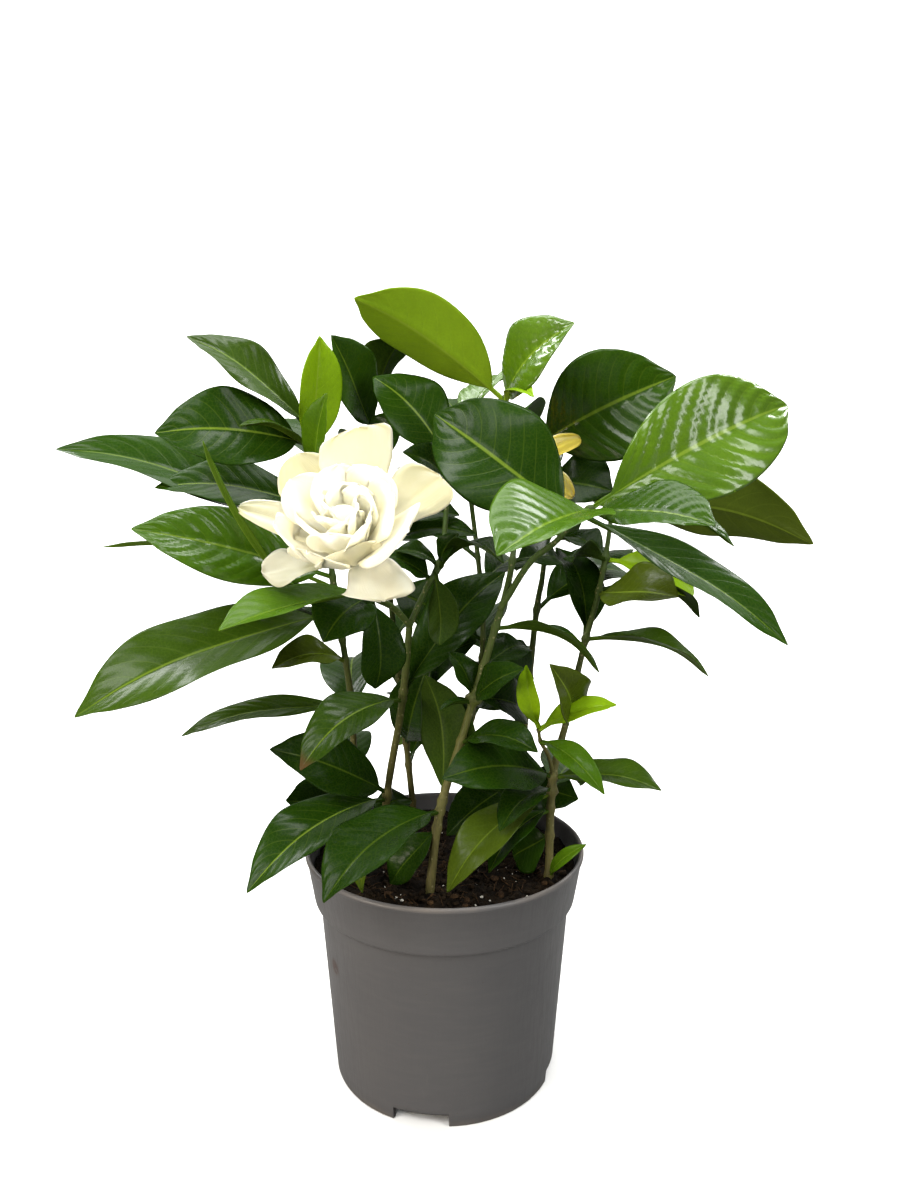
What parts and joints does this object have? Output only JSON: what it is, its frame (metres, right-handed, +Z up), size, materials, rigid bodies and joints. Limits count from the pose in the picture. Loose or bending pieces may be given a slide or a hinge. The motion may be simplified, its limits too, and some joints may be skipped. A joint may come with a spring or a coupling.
{
  "type": "potted gardenia",
  "caption": "Small gardenia shrub with glossy leaves, an open white double flower and a faded yellow one, in a round grey plastic pot.",
  "frame": {"origin": "middle of the pot's foot, on the surface that the pot stands on", "axes": "+Z up along the pot's axis, -Y toward the side that the open flower faces, +X to the right as seen from there"},
  "size_m": [0.3433, 0.2065, 0.3578],
  "materials": {
    "pot_plastic": "satin",
    "potting_mix": "matte",
    "leaf": "gloss",
    "petal_white": "matte",
    "petal_faded": "matte"
  },
  "bodies": {
    "root": {"pot": "pot_plastic", "soil": "potting_mix", "stem_a": "leaf", "stem_b": "leaf", "stem_c": "leaf", "stem_d": "leaf", "stem_e": "leaf", "stem_f": "leaf", "stem_g": "leaf", "bloom_white": "petal_white", "bloom_faded": "petal_faded"}
  },
  "joints": []
}
